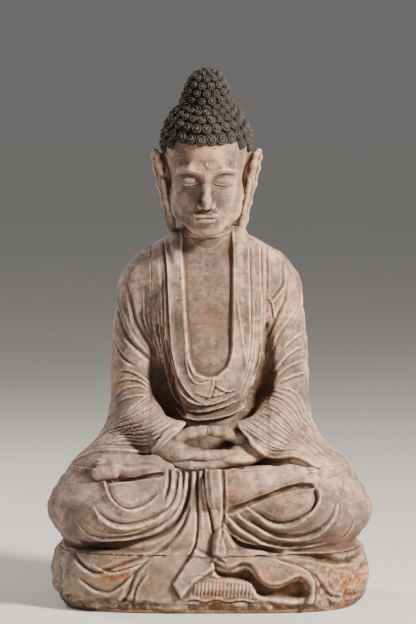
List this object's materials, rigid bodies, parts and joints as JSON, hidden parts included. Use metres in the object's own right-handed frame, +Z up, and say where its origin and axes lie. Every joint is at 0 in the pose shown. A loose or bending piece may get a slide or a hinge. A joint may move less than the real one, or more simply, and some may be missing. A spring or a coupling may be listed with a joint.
{
  "type": "seated buddha statue",
  "caption": "Seated meditating figure in carved stone on a rough rock seat, legs crossed, hands joined in the lap, robe in folds, snail-shell curls on the head.",
  "frame": {"origin": "middle of the flat underside of the rock seat", "axes": "+Z up, the figure faces -Y, +X at the figure's left hand"},
  "size_m": [0.5472, 0.3573, 0.9002],
  "materials": {
    "carved_stone": "weathered honed stone, warm beige with grey-brown mottling and dark recesses",
    "rock": "rough split stone with rust staining",
    "dark_hair": "dark weathered stone with worn highlights",
    "mortar": "lime mortar",
    "steel": "ribbed stainless steel, sealed in"
  },
  "bodies": {
    "root": {"rock_seat": "rock", "crossed_legs": "carved_stone", "torso": "carved_stone", "right_arm": "carved_stone", "left_arm": "carved_stone", "joined_hands": "carved_stone", "head": "carved_stone", "ushnisha": "dark_hair", "scalp_curls": "dark_hair", "dome_curls": "dark_hair", "seat_bed": "mortar", "waist_bed": "mortar", "neck_bed": "mortar", "seat_dowels": "steel", "waist_dowels": "steel", "neck_dowel": "steel", "shoulder_dowels": "steel", "wrist_dowels": "steel", "hand_dowel": "steel", "dome_dowel": "steel"}
  },
  "joints": []
}
